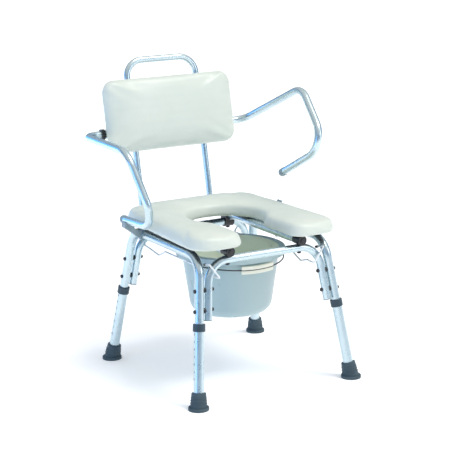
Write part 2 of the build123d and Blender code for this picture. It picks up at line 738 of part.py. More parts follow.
with BuildPart() as pivot_tube_screws:
    for side in SIDES:
        add(back_screw_rod(side, TUBE_SCREW_STEP, TUBE_SCREW_START - 1.0, 0.0, BACK_SCREW_RADIUS))
        add(back_screw_rod(side, TUBE_SCREW_STEP, TUBE_SCREW_START - SCREW_HEAD, TUBE_SCREW_START,
                           BACK_SCREW_HEAD))
save(pivot_tube_screws.part, "pivot_tube_screws")

BUSH_BORE = ARM_TUBE / 2 + RUNNING
for side in SIDES:
    with BuildPart() as bush:
        with BuildSketch(along_x(side * (PIVOT_TUBE_HALF - BUSH_LENGTH + BUSH_HEAD), PIVOT_Y, PIVOT_Z, side)):
            Circle(PIVOT_TUBE / 2 - FRAME_WALL)
            Circle(BUSH_BORE, mode=Mode.SUBTRACT)
        extrude(amount=BUSH_LENGTH - BUSH_HEAD)
        with BuildSketch(along_x(side * PIVOT_TUBE_HALF, PIVOT_Y, PIVOT_Z, side)):
            Circle(BUSH_HEAD_RADIUS)
            Circle(BUSH_BORE, mode=Mode.SUBTRACT)
        extrude(amount=BUSH_HEAD)
        fillet(bush.edges().filter_by(GeomType.CIRCLE).group_by(Axis.X)[-1 if side > 0 else 0][-1], 1.5)
    save(bush.part, f"arm_bush_{SIDE_NAMES[side]}")

# --- Arms: the sitter's right arm is down on its cradle, the left one is swung up ------------------

CAP_WALL = 1.2
ARM_CAP_LENGTH = 12.0
RING_WIDTH = 10.0
arm_turns = {-1: 0.0, 1: ARM_RAISED}


def arm_points(side, raised):
    """The arm's corners, swung up about the pivot by an angle in degrees."""
    points = [at(side * ARM_INNER_X, PIVOT_Y, PIVOT_Z)]
    points += [at(side * x, y, z) for x, y, z in ARM_CORNERS]
    return [(p - pivot_centre).rotate(Axis.X, -raised) + pivot_centre for p in points]


for side in SIDES:
    points = arm_points(side, arm_turns[side])
    name = SIDE_NAMES[side]
    save(bent_rod(points, list(ARM_BENDS), ARM_TUBE, FRAME_WALL), f"arm_{name}")

    tail = (points[-1] - points[-2]).normalized()
    with BuildPart() as end_cap:
        with BuildSketch(Plane(origin=points[-1] - tail * ARM_CAP_LENGTH, z_dir=tail)):
            Circle(ARM_TUBE / 2 + CAP_WALL)
        extrude(amount=ARM_CAP_LENGTH + 10.0)
        far = end_cap.edges().sort_by(Axis(points[-1], tail))[-1]
        fillet(far, 9.5)
        with BuildSketch(Plane(origin=points[-1] - tail * ARM_CAP_LENGTH, z_dir=tail)):
            Circle(ARM_TUBE / 2)
        extrude(amount=ARM_CAP_LENGTH, mode=Mode.SUBTRACT)
    save(end_cap.part, f"arm_end_cap_{name}")

    with BuildPart() as ring:
        with BuildSketch(along_x(side * (ARM_INNER_X + 6.0), PIVOT_Y, PIVOT_Z, side)):
            Circle(PIVOT_TUBE / 2 - FRAME_WALL - SOFT_GAP)
            Circle(ARM_TUBE / 2, mode=Mode.SUBTRACT)
        extrude(amount=RING_WIDTH)
    save(ring.part, f"arm_retaining_ring_{name}")

# --- Arm cradles clamped on the side rails -------------------------------------------------------

CRADLE_LENGTH = 22.0
CRADLE_Y = 122.0
CRADLE_WALL = 3.6
REST_GAP = 0.45

for side in SIDES:
    rest_points = arm_points(side, 0.0)
    tail = (rest_points[-1] - rest_points[-2]).normalized()
    rest_centre = rest_points[-1] - tail * 30.0
    groove = rod_between(rest_centre - tail * 40, rest_centre + tail * 40, ARM_TUBE + 2 * REST_GAP)
    rail_x = FOOT_X - SPLAY_X * SIDE_RAIL_Z
    outer_x = abs(rest_centre.X) + ARM_TUBE / 2 + CRADLE_WALL
    inner_x = abs(rest_centre.X) - ARM_TUBE / 2 - CRADLE_WALL
    cradle_outline = [
        (rail_x - 8, SIDE_RAIL_Z), (rail_x + 10, SIDE_RAIL_Z - 13), (outer_x, rest_centre.Z - 18),
        (outer_x, rest_centre.Z - 3), (inner_x, rest_centre.Z - 3), (inner_x, SIDE_RAIL_Z + 24),
        (inner_x - 6, SIDE_RAIL_Z + 16), (rail_x, SIDE_RAIL_Z + 16),
    ]
    profile = Plane(origin=at(0, CRADLE_Y, 0), x_dir=(1, 0, 0), z_dir=(0, 1, 0))
    with BuildPart() as cradle:
        with BuildSketch(profile):
            with Locations((side * rail_x, -SIDE_RAIL_Z)):
                Circle(SIDE_TUBE / 2 + CRADLE_WALL)
            with BuildLine():
                Polyline(*[(side * x, -z) for x, z in cradle_outline], close=True)
            make_face()
        extrude(amount=CRADLE_LENGTH)
        add(side_rods[side], mode=Mode.SUBTRACT)
        add(groove, mode=Mode.SUBTRACT)
    save(cradle.part, f"arm_cradle_{SIDE_NAMES[side]}")

# --- Pail, its bail and its carrier wires ---------------------------------------------------------

pail_axis = at(0, PAIL_Y, 0)
section = Plane(origin=pail_axis, x_dir=(1, 0, 0), z_dir=(0, -1, 0))
EAR_RADIUS = 7.0
EAR_OUT = 143.5
PAIL_CORNER = 34.0
RIM_ROUND = 1.4


def pail_radius(z):
    """The pail wall's outer radius at a height."""
    share = (z - PAIL_FLOOR_Z) / (PAIL_TOP_Z - PAIL_FLOOR_Z)
    return PAIL_FLOOR_RADIUS + share * (PAIL_TOP_RADIUS - PAIL_FLOOR_RADIUS)


with BuildPart() as pail:
    with BuildSketch(section):
        with BuildLine():
            Polyline(
                (0, PAIL_FLOOR_Z), (PAIL_FLOOR_RADIUS, PAIL_FLOOR_Z),
                (PAIL_TOP_RADIUS, PAIL_TOP_Z - PAIL_WALL), (PAIL_FLANGE - PAIL_WALL, PAIL_TOP_Z - PAIL_WALL),
                (PAIL_FLANGE - PAIL_WALL, PAIL_LIP_Z), (PAIL_FLANGE, PAIL_LIP_Z), (PAIL_FLANGE, PAIL_TOP_Z),
                (PAIL_TOP_RADIUS - PAIL_WALL, PAIL_TOP_Z),
                (PAIL_FLOOR_RADIUS - PAIL_WALL, PAIL_FLOOR_Z + PAIL_WALL), (0, PAIL_FLOOR_Z + PAIL_WALL),
                close=True,
            )
        make_face()
    revolve(axis=Axis(pail_axis, (0, 0, 1)))
    rims = pail.edges().filter_by(GeomType.CIRCLE)
    fillet(rims.filter_by_position(Axis.Z, PAIL_FLOOR_Z - 1, PAIL_FLOOR_Z + 5).sort_by(Axis.Z)[0], PAIL_CORNER)
    rims = pail.edges().filter_by(GeomType.CIRCLE)
    fillet(rims.filter_by_position(Axis.Z, PAIL_FLOOR_Z + 1, PAIL_FLOOR_Z + 5), PAIL_CORNER - PAIL_WALL)
    fillet(pail.edges().filter_by(GeomType.CIRCLE).group_by(Axis.Z)[-1], RIM_ROUND)
    for side in SIDES:
        with BuildSketch(along_x(side * (pail_radius(BAIL_Z) - 4), PAIL_Y, BAIL_Z, side)):
            Circle(EAR_RADIUS)
        extrude(amount=EAR_OUT - pail_radius(BAIL_Z) + 4)
        with BuildSketch(along_x(side * (pail_radius(BAIL_Z) + 1), PAIL_Y, BAIL_Z, side)):
            Circle(BAIL_WIRE / 2 + RUNNING)
        extrude(amount=20, mode=Mode.SUBTRACT)
save(pail.part, "pail")

# The bail lies forward under the flange, a little lower at the front, with a flat two-band grip.
BAIL_STRAIGHT = 8.0
BAIL_CORNER = 3.5
BAIL_TIP = pail_radius(BAIL_Z) + 2.0
BAIL_REACH = BAIL_RADIUS + BAIL_STRAIGHT
bail_down = Vector(0, 0, -1).rotate(Axis.X, BAIL_DROP)
bail_plane = Plane(origin=at(0, PAIL_Y, BAIL_Z), x_dir=(1, 0, 0), z_dir=bail_down)

with BuildPart() as pail_bail:
    with BuildLine(bail_plane) as bail_route:
        FilletPolyline((BAIL_TIP, 0), (BAIL_RADIUS, 0), (BAIL_RADIUS, BAIL_STRAIGHT), radius=BAIL_CORNER)
        ThreePointArc((BAIL_RADIUS, BAIL_STRAIGHT), (0, BAIL_REACH), (-BAIL_RADIUS, BAIL_STRAIGHT))
        FilletPolyline((-BAIL_RADIUS, BAIL_STRAIGHT), (-BAIL_RADIUS, 0), (-BAIL_TIP, 0), radius=BAIL_CORNER)
    bail_start = bail_route.wires()[0]
    with BuildSketch(Plane(origin=bail_start @ 0, z_dir=bail_start % 0)):
        Circle(BAIL_WIRE / 2)
    sweep(path=bail_start)
save(pail_bail.part, "pail_bail")

GRIP_HALF_ANGLE = 20.0
GRIP_THICK = 7.0
GRIP_HEIGHT = 22.0
GRIP_GROOVE = 3.0
wedge_reach = BAIL_RADIUS + 2 * GRIP_THICK
wedge_half = wedge_reach * tan(radians(GRIP_HALF_ANGLE))
with BuildPart() as bail_grip:
    with BuildSketch(bail_plane.offset(-GRIP_HEIGHT / 2)):
        with BuildLine():
            Polyline((0, BAIL_STRAIGHT), (wedge_half, wedge_reach + BAIL_STRAIGHT),
                     (-wedge_half, wedge_reach + BAIL_STRAIGHT), close=True)
        make_face()
        with Locations((0, BAIL_STRAIGHT)):
            Circle(BAIL_RADIUS + GRIP_THICK / 2, mode=Mode.INTERSECT)
            Circle(BAIL_RADIUS - GRIP_THICK / 2, mode=Mode.SUBTRACT)
    extrude(amount=GRIP_HEIGHT)
    ends = bail_grip.faces().filter_by(GeomType.PLANE).sort_by(Axis.X)
    fillet(ends[0].edges() + ends[-1].edges(), 1.2)
    with BuildSketch(bail_plane.offset(-GRIP_GROOVE / 2)):
        with Locations((0, BAIL_STRAIGHT)):
            Circle(BAIL_RADIUS + GRIP_THICK)
            Circle(BAIL_RADIUS + 1.0, mode=Mode.SUBTRACT)
    extrude(amount=GRIP_GROOVE, mode=Mode.SUBTRACT)
    add(pail_bail.part, mode=Mode.SUBTRACT)
save(bail_grip.part, "bail_grip")

# Each carrier wire runs straight under the flange's side, as a rail that the pail slides along to the
# front. It dips at both ends and hooks over the loops.
RAIL_WIRE_X = 153.6
RAIL_WIRE_Z = PAIL_LIP_Z - CARRIER_WIRE / 2 - SOFT_GAP
CARRIER_TIP = 9.0
CARRIER_BENDS = [6, 8, 8, 8, 12, 12, 8, 8, 8, 6]


def carrier_points(side):
    """One carrier wire, from its front hook, back along the pail's side, to its rear hook."""
    front = [
        at(side * 181, -184, 377), at(side * 186, -217, 387), at(side * 152, -220, 342),
        at(side * 157, -176, 341), at(side * 157, -142, 331), at(side * RAIL_WIRE_X, -105, RAIL_WIRE_Z),
    ]
    rear = [
        at(side * RAIL_WIRE_X, 90, RAIL_WIRE_Z), at(side * 157, 124, 333), at(side * 157, 176, 341),
        at(side * 152, 220, 342), at(side * 186, 217, 387), at(side * 181, 184, 377),
    ]
    return front + rear


tip_parts = []
for side in SIDES:
    points = carrier_points(side)
    wire = bent_rod(points, CARRIER_BENDS, CARRIER_WIRE)
    save(wire, f"pail_carrier_{SIDE_NAMES[side]}")
    for tip, inner in ((points[0], points[1]), (points[-1], points[-2])):
        outward = (tip - inner).normalized()
        with BuildPart() as tip_cap:
            with BuildSketch(Plane(origin=tip - outward * CARRIER_TIP, z_dir=outward)):
                Circle(CARRIER_WIRE / 2 + 1.2)
            extrude(amount=CARRIER_TIP + 2.5)
            fillet(tip_cap.edges().sort_by(Axis(tip, outward))[-1], 2.2)
            add(wire, mode=Mode.SUBTRACT)
        tip_parts.append(tip_cap.part)

with BuildPart() as carrier_tips:
    add(tip_parts)
save(carrier_tips.part, "carrier_tips")
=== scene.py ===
import json
import math

import bmesh
import bpy
from mathutils import Matrix, Vector


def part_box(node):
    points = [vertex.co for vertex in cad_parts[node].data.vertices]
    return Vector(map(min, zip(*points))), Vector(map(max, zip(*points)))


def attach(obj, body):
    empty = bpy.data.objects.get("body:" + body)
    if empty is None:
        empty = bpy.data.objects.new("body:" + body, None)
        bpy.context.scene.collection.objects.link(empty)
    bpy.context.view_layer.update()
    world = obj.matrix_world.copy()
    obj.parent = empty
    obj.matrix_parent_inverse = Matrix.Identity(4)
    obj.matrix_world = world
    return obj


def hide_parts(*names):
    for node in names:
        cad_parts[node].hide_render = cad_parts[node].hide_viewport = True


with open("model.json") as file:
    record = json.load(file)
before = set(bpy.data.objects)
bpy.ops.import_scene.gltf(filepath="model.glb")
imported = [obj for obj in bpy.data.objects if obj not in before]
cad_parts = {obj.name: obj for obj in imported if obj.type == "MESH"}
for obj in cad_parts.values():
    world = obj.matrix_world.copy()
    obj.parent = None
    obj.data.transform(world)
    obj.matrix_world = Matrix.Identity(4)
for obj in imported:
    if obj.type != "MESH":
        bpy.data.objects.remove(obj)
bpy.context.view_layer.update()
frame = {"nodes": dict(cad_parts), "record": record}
nodes = frame["nodes"]

CORNERS = {"front_right": (-1, -1), "front_left": (1, -1), "rear_right": (-1, 1), "rear_left": (1, 1)}

# --- Camera -------------------------------------------------------------------------------------

VIEW_AZIMUTH = math.radians(-30.7)
VIEW_ELEVATION = math.radians(13.9)
VIEW_ROLL = math.radians(-0.63)
VIEW_DISTANCE = 4.49
VIEW_LENS = 118.8
feet_middle_y = (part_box("rubber_foot_front_right")[0][1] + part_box("rubber_foot_rear_right")[1][1]) / 2
VIEW_TARGET = Vector((0.0318, feet_middle_y, 0.3876))


def make_camera():
    """A long-lens camera at the sitter's front right, higher than the chair's top."""
    cos_e = math.cos(VIEW_ELEVATION)
    back = Vector((math.sin(VIEW_AZIMUTH) * cos_e, -math.cos(VIEW_AZIMUTH) * cos_e, math.sin(VIEW_ELEVATION)))
    level = Vector((math.cos(VIEW_AZIMUTH), math.sin(VIEW_AZIMUTH), 0))
    up = back.cross(level)
    right = level * math.cos(VIEW_ROLL) + up * math.sin(VIEW_ROLL)
    up = up * math.cos(VIEW_ROLL) - level * math.sin(VIEW_ROLL)
    data = bpy.data.cameras.new("camera")
    data.lens = VIEW_LENS
    data.sensor_width = 36.0
    data.clip_end = 100.0
    camera = bpy.data.objects.new("camera", data)
    place = Matrix((right, up, back)).transposed().to_4x4()
    place.translation = VIEW_TARGET + back * VIEW_DISTANCE
    camera.matrix_world = place
    bpy.context.scene.collection.objects.link(camera)
    bpy.context.scene.camera = camera


# --- Material helpers ---------------------------------------------------------------------------

NOISE_LOW = 0.3
NOISE_HIGH = 0.7
ROUGHNESS_FINENESS = 3.3
ROUGHNESS_SWING = 0.15


def new_material(name, colour, roughness, metallic=0.0):
    """A Principled material in its plain state, with its tree, shader and texture coordinates."""
    material = bpy.data.materials.new(name)
    material.use_nodes = True
    tree = material.node_tree
    shader = tree.nodes["Principled BSDF"]
    shader.inputs["Base Color"].default_value = (*colour, 1.0)
    shader.inputs["Roughness"].default_value = roughness
    shader.inputs["Metallic"].default_value = metallic
    coords = tree.nodes.new("ShaderNodeTexCoord")
    return material, tree, shader, coords.outputs["Object"]


def noise(tree, coords, scale, detail=3.0, stretch=(1, 1, 1)):
    """A noise value over the object's own space; scale is in features per metre."""
    mapping = tree.nodes.new("ShaderNodeMapping")
    mapping.inputs["Scale"].default_value = stretch
    tree.links.new(coords, mapping.inputs["Vector"])
    texture = tree.nodes.new("ShaderNodeTexNoise")
    texture.inputs["Scale"].default_value = scale
    texture.inputs["Detail"].default_value = detail
    tree.links.new(mapping.outputs["Vector"], texture.inputs["Vector"])
    return texture.outputs["Fac"]


def cells(tree, coords, scale):
    """Distance to the nearest cell edge, for the vinyl's pebbles."""
    texture = tree.nodes.new("ShaderNodeTexVoronoi")
    texture.feature = "DISTANCE_TO_EDGE"
    texture.inputs["Scale"].default_value = scale
    tree.links.new(coords, texture.inputs["Vector"])
    return texture.outputs["Distance"]


def spread(tree, value, low, high):
    """Maps the middle of a noise's range onto another range."""
    node = tree.nodes.new("ShaderNodeMapRange")
    node.inputs["From Min"].default_value = NOISE_LOW
    node.inputs["From Max"].default_value = NOISE_HIGH
    node.inputs["To Min"].default_value = low
    node.inputs["To Max"].default_value = high
    tree.links.new(value, node.inputs["Value"])
    return node.outputs["Result"]


def blend_colours(tree, value, first, second):
    """A ramp between two colours."""
    ramp = tree.nodes.new("ShaderNodeValToRGB")
    ramp.color_ramp.elements[0].position = NOISE_LOW
    ramp.color_ramp.elements[0].color = (*first, 1.0)
    ramp.color_ramp.elements[1].position = NOISE_HIGH
    ramp.color_ramp.elements[1].color = (*second, 1.0)
    tree.links.new(value, ramp.inputs["Fac"])
    return ramp.outputs["Color"]


def bump(tree, shader, heights):
    """Chains bumps, each a (value, strength, distance in metres)."""
    before = None
    for value, strength, distance in heights:
        node = tree.nodes.new("ShaderNodeBump")
        node.inputs["Strength"].default_value = strength
        node.inputs["Distance"].default_value = distance
        tree.links.new(value, node.inputs["Height"])
        if before:
            tree.links.new(before, node.inputs["Normal"])
        before = node.outputs["Normal"]
    tree.links.new(before, shader.inputs["Normal"])


def worn_surface(name, colour, other, roughness, metallic=0.0, mottle=18.0, grain=900.0, relief=0.00012):
    """Moulded or drawn surface: two close colours, uneven roughness and a fine grain."""
    material, tree, shader, coords = new_material(name, colour, roughness, metallic)
    patches = noise(tree, coords, mottle, 4.0)
    tree.links.new(blend_colours(tree, patches, colour, other), shader.inputs["Base Color"])
    rubbed = noise(tree, coords, mottle * ROUGHNESS_FINENESS)
    uneven = spread(tree, rubbed, roughness * (1 - ROUGHNESS_SWING), roughness * (1 + ROUGHNESS_SWING))
    tree.links.new(uneven, shader.inputs["Roughness"])
    bump(tree, shader, [(noise(tree, coords, grain, 2.0), 0.35, relief)])
    return material, tree, shader, coords


# --- Materials ----------------------------------------------------------------------------------

# A face of the pail is outer when it faces away from a point on the pail's axis at this height; the other
# faces get the painted light of the inside.
PAIL_SIGHT_Z = 0.30
PAIL_TURN = 0.01


def aluminium():
    """Satin anodised tube with slow changes of finish and fine draw marks; its colour is grey metal with a
    painted blue reflection.
    """
    # The blue tint of these colours is painted reflection of the blue surroundings; the slow patches are the
    # metal's own uneven tone.
    material, tree, shader, coords = new_material("aluminium_painted_blue_reflection", (0.62, 0.72, 0.77), 0.3, 0.92)
    haze = noise(tree, coords, 14.0, 3.0)
    tone = blend_colours(tree, haze, (0.54, 0.66, 0.71), (0.61, 0.72, 0.76))
    tree.links.new(tone, shader.inputs["Base Color"])
    tree.links.new(spread(tree, noise(tree, coords, 45.0, 3.0), 0.25, 0.33), shader.inputs["Roughness"])
    bump(tree, shader, [(noise(tree, coords, 500.0, 1.0), 0.02, 0.00002)])
    return material


def vinyl():
    """Pale green-white upholstery vinyl with a pebbled grain."""
    material, tree, shader, coords = new_material("vinyl", (0.60, 0.65, 0.59), 0.42)
    patches = noise(tree, coords, 9.0, 4.0)
    tone = blend_colours(tree, patches, (0.615, 0.67, 0.605), (0.68, 0.72, 0.66))
    tree.links.new(tone, shader.inputs["Base Color"])
    tree.links.new(spread(tree, noise(tree, coords, 40.0), 0.36, 0.5), shader.inputs["Roughness"])
    shader.inputs["Coat Weight"].default_value = 0.12
    shader.inputs["Coat Roughness"].default_value = 0.35
    pebbles = cells(tree, coords, 620.0)
    creases = noise(tree, coords, 55.0, 3.0)
    bump(tree, shader, [(pebbles, 0.28, 0.0004), (creases, 0.18, 0.0012)])
    return material


def pail_plastic():
    """Smooth translucent plastic: grey-teal outside, and a creamier inside that is painted light on the same
    plastic, told apart by which way it faces.
    """
    material, tree, shader, coords = worn_surface(
        "pail_plastic", (0.38, 0.49, 0.51), (0.41, 0.52, 0.54), 0.32, mottle=5.0, grain=400.0, relief=0.00005)
    low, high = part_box("pail")
    from_axis = tree.nodes.new("ShaderNodeVectorMath")
    from_axis.operation = "SUBTRACT"
    from_axis.inputs[1].default_value = ((low[0] + high[0]) / 2, (low[1] + high[1]) / 2, PAIL_SIGHT_Z)
    normal = tree.nodes.new("ShaderNodeTexCoord")
    facing = tree.nodes.new("ShaderNodeVectorMath")
    facing.operation = "DOT_PRODUCT"
    side = tree.nodes.new("ShaderNodeMapRange")
    side.inputs["From Min"].default_value = -PAIL_TURN
    side.inputs["From Max"].default_value = PAIL_TURN
    painted_light_mix = tree.nodes.new("ShaderNodeMix")
    painted_light_mix.data_type = "RGBA"
    # Painted light: the inner faces take this creamier colour for the light that fills the open pail.
    painted_light_mix.inputs["A"].default_value = (0.66, 0.72, 0.60, 1.0)
    tree.links.new(coords, from_axis.inputs[0])
    tree.links.new(from_axis.outputs["Vector"], facing.inputs[0])
    tree.links.new(normal.outputs["Normal"], facing.inputs[1])
    tree.links.new(facing.outputs["Value"], side.inputs["Value"])
    tree.links.new(side.outputs["Result"], painted_light_mix.inputs["Factor"])
    tree.links.new(shader.inputs["Base Color"].links[0].from_socket, painted_light_mix.inputs["B"])
    tree.links.new(painted_light_mix.outputs["Result"], shader.inputs["Base Color"])
    shader.inputs["Subsurface Weight"].default_value = 0.25
    shader.inputs["Subsurface Radius"].default_value = (0.02, 0.03, 0.03)
    shader.inputs["Subsurface Scale"].default_value = 0.5
    return material


def plywood():
    """Near-black ply, whose darkness is painted shade for the shadow under the seat, with the long grain
    showing through.
    """
    # Painted shade: these near-black colours stand in for the shadow under the seat.
    material, tree, shader, coords = new_material("plywood", (0.02, 0.02, 0.022), 0.5)
    grain = noise(tree, coords, 60.0, 6.0, (1.0, 0.08, 1.0))
    tone = blend_colours(tree, grain, (0.014, 0.014, 0.016), (0.03, 0.03, 0.032))
    tree.links.new(tone, shader.inputs["Base Color"])
    bump(tree, shader, [(grain, 0.25, 0.0003)])
    return material


MATERIALS = {
    "aluminium": aluminium(),
    "vinyl": vinyl(),
    "pail_plastic": pail_plastic(),
    "plywood": plywood(),
    "grey_rubber": worn_surface("foot_rubber", (0.035, 0.065, 0.085), (0.05, 0.085, 0.105), 0.6)[0],
    "grey_plastic": worn_surface("collar_plastic", (0.025, 0.05, 0.07), (0.035, 0.065, 0.085), 0.42)[0],
    "black_plastic": worn_surface("black_plastic", (0.012, 0.013, 0.016), (0.02, 0.021, 0.025), 0.35)[0],
    "light_plastic": worn_surface("light_plastic", (0.24, 0.31, 0.34), (0.29, 0.36, 0.38), 0.45)[0],
    "cream_plastic": worn_surface("cream_plastic", (0.80, 0.79, 0.66), (0.84, 0.83, 0.72), 0.38)[0],
    "zinc": worn_surface("zinc_plate", (0.62, 0.64, 0.66), (0.70, 0.70, 0.70), 0.32, 1.0)[0],
    "black_steel": worn_surface("black_steel", (0.03, 0.03, 0.035), (0.06, 0.06, 0.065), 0.4, 0.6)[0],
    "dark_wire": worn_surface("dark_wire", (0.03, 0.035, 0.04), (0.05, 0.055, 0.06), 0.35)[0],
    "white_wire": worn_surface("white_wire", (0.78, 0.81, 0.82), (0.83, 0.85, 0.86), 0.3)[0],
}


def dress_frame():
    """Gives every CAD node its slot's procedural material."""
    slots = {s["node"]: s["material_slot"] for s in frame["record"]["subparts"]}
    for name, node in nodes.items():
        node.data.materials.clear()
        node.data.materials.append(MATERIALS[slots[name]])


# --- Mesh helpers -------------------------------------------------------------------------------


def add_piece(name, mesh, material, body):
    """Links a mesh as a piece that rides on a body."""
    mesh.materials.clear()
    mesh.materials.append(MATERIALS[material])
    for polygon in mesh.polygons:
        polygon.use_smooth = True
    piece = bpy.data.objects.new(name, mesh)
    bpy.context.scene.collection.objects.link(piece)
    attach(piece, body)
    return piece


def looped_mesh(name, loops):
    """A closed mesh through loops of points, each loop joined to the next and the last to the first."""
    shape = bmesh.new()
    rings = [[shape.verts.new(point) for point in loop] for loop in loops]
    for ring, after in zip(rings, rings[1:] + rings[:1]):
        for j in range(len(ring)):
            k = (j + 1) % len(ring)
            shape.faces.new((ring[j], ring[k], after[k], after[j]))
    mesh = bpy.data.meshes.new(name)
    shape.to_mesh(mesh)
    shape.free()
    return mesh


def torus_mesh(name, centre, axis, major, minor, around=48, across=12):
    """A ring about an axis, for the feet's ribs and the buttons' rims."""
    turn = Vector((0, 0, 1)).rotation_difference(Vector(axis).normalized())
    loops = []
    for i in range(around):
        angle = 2 * math.pi * i / around
        loop = []
        for j in range(across):
            tilt = -2 * math.pi * j / across
            reach = major + minor * math.cos(tilt)
            spot = Vector((reach * math.cos(angle), reach * math.sin(angle), minor * math.sin(tilt)))
            loop.append(Vector(centre) + turn @ spot)
        loops.append(loop)
    return looped_mesh(name, loops)


def closed_tube(name, path, radius, across=8):
    """A thin tube round a closed path of points."""
    loops = []
    side = None
    for i, spot in enumerate(path):
        along = (path[(i + 1) % len(path)] - path[i - 1]).normalized()
        side = along.orthogonal() if side is None else side - along * side.dot(along)
        side.normalize()
        other = along.cross(side)
        loop = []
        for j in range(across):
            tilt = 2 * math.pi * j / across
            loop.append(spot + (side * math.cos(tilt) + other * math.sin(tilt)) * radius)
        loops.append(loop)
    return looped_mesh(name, loops)


def joined(meshes, name):
    """Several meshes as one."""
    shape = bmesh.new()
    for mesh in meshes:
        shape.from_mesh(mesh)
    whole = bpy.data.meshes.new(name)
    shape.to_mesh(whole)
    shape.free()
    return whole


# --- Cushions: each starts from its CAD solid, remeshed and rounded, and is blown up as cloth ---

# A negative inset starts a cushion larger than its CAD solid, and cap is the most that the cloth may swell.
VOXEL = 0.005
SAME_POINT = 0.00002
PUFF_FRAMES = 20
PUFF_PRESSURE = 4.0
SOFTNESS = 1.6


def rounded_copy(node, inset, rounds, held):
    """The node's mesh, remeshed evenly, with its free points moved in by the inset and then smoothed."""
    mesh = nodes[node].data.copy()
    blank = bpy.data.objects.new(node + "_blank", mesh)
    bpy.context.scene.collection.objects.link(blank)
    weld = blank.modifiers.new("weld", "WELD")
    weld.merge_threshold = SAME_POINT
    remesh = blank.modifiers.new("remesh", "REMESH")
    remesh.mode = "VOXEL"
    remesh.voxel_size = VOXEL
    bpy.context.view_layer.update()
    graph = bpy.context.evaluated_depsgraph_get()
    even = bpy.data.meshes.new_from_object(blank.evaluated_get(graph))
    bpy.data.objects.remove(blank)
    for vertex in even.vertices:
        if not held(vertex.co):
            vertex.co -= vertex.normal * inset
    shape = bmesh.new()
    shape.from_mesh(even)
    free = [v for v in shape.verts if not held(v.co)]
    for _ in range(rounds):
        bmesh.ops.smooth_vert(
            shape, verts=free, factor=0.5, use_axis_x=True, use_axis_y=True, use_axis_z=True)
    shape.to_mesh(even)
    shape.free()
    return even


def puffed(name, mesh, held, cap):
    """Cloth under pressure, held where it is stapled down; points ease off towards the cap."""
    cloth_object = bpy.data.objects.new(name + "_cloth", mesh)
    scene = bpy.context.scene
    scene.collection.objects.link(cloth_object)
    pins = cloth_object.vertex_groups.new(name="pins")
    pins.add([v.index for v in mesh.vertices if held(v.co)], 1.0, "REPLACE")
    cloth = cloth_object.modifiers.new("cloth", "CLOTH")
    cloth.settings.quality = 6
    cloth.settings.mass = 0.3
    cloth.settings.tension_stiffness = 12
    cloth.settings.compression_stiffness = 12
    cloth.settings.bending_stiffness = 2
    cloth.settings.use_pressure = True
    cloth.settings.uniform_pressure_force = PUFF_PRESSURE
    cloth.settings.vertex_group_mass = "pins"
    cloth.settings.effector_weights.gravity = 0
    cloth.point_cache.frame_start = 1
    cloth.point_cache.frame_end = PUFF_FRAMES
    for step in range(1, PUFF_FRAMES + 1):
        scene.frame_set(step)
    graph = bpy.context.evaluated_depsgraph_get()
    result = bpy.data.meshes.new_from_object(cloth_object.evaluated_get(graph))
    for start, end in zip(mesh.vertices, result.vertices):
        move = end.co - start.co
        if move.length > 0:
            end.co = start.co + move.normalized() * cap * math.tanh(move.length / (SOFTNESS * cap))
    bpy.data.objects.remove(cloth_object)
    scene.frame_set(1)
    return result


def make_cushion(name, node, inset, rounds, cap, eased, held):
    """A padded cover in place of a CAD cushion, smoothed as often as eased says."""
    mesh = rounded_copy(node, inset, rounds, held)
    mesh = puffed(name, mesh, held, cap)
    mesh.name = name
    cover = add_piece(name, mesh, "vinyl", "frame")
    smooth = cover.modifiers.new("smooth", "SMOOTH")
    smooth.factor = 0.5
    smooth.iterations = eased
    rounding = cover.modifiers.new("rounding", "SUBSURF")
    rounding.levels = 1
    rounding.render_levels = 1
    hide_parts(node)


SEAT_HELD_ABOVE_BOARD = 0.002
BACK_HELD_DEPTH = 0.009
BACK_SLOPE = 0.206

seat_board_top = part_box("seat_board")[1][2]
lean = Vector((0, -1, BACK_SLOPE)).normalized()
board_rear = max(Vector(v.co).dot(-lean) for v in nodes["back_board"].data.vertices)


def on_seat_board(point):
    """The seat cushion is held up to just above its board's top."""
    return point.z < seat_board_top + SEAT_HELD_ABOVE_BOARD


def on_back_board(point):
    """The back cushion is held within a short depth of its board's rear face."""
    return point.dot(lean) + board_rear < BACK_HELD_DEPTH


# --- Small made detail --------------------------------------------------------------------------

FOOT_RIB_HEIGHTS = (0.017, 0.024, 0.031)
FOOT_RIB_SIZE = 0.0011
FOOT_BODY_LOW = 0.0240
FOOT_BODY_HIGH = 0.0200
FOOT_TAPER_START = 0.27
LEG_END_BAND = 0.0002
POST_RADIUS = 0.009525
POST_AT_PIVOT_Y = -0.0057
WELD_SIZE = 0.0013
WELD_STEPS = 72
WELD_RIPPLES = 24
WELD_RIPPLE = 0.0003
BUTTON_RIM_SIZE = 0.0005
BUTTON_PROUD = 0.0031
BUTTON_RIM_RADIUS = 0.0038
STAPLE_COUNT = 9
STAPLE_MARGIN = 0.09
STAPLE_INSET = 0.012
STAPLE_TAPER = 0.024
STAPLE_WIRE = 0.0010
STAPLE_LENGTH = 0.010
STAPLE_ROUND = STAPLE_WIRE * 0.3


def node_points(name):
    """A CAD node's points, in metres."""
    return [Vector(v.co) for v in nodes[name].data.vertices]


def leg_line(corner):
    """The middle of a lower leg's lowest end, and the way up along the leg."""
    points = node_points(f"lower_leg_{corner}")
    slide = next(j for j in frame["record"]["behaviour"]["joints"] if j["name"] == f"leg_{corner}_slide")
    up = -Vector(slide["axis"]).normalized()
    reach = [p.dot(up) for p in points]
    low_end = [p for p, r in zip(points, reach) if r < min(reach) + LEG_END_BAND]
    middle = sum(low_end, Vector()) / len(low_end)
    return middle, up


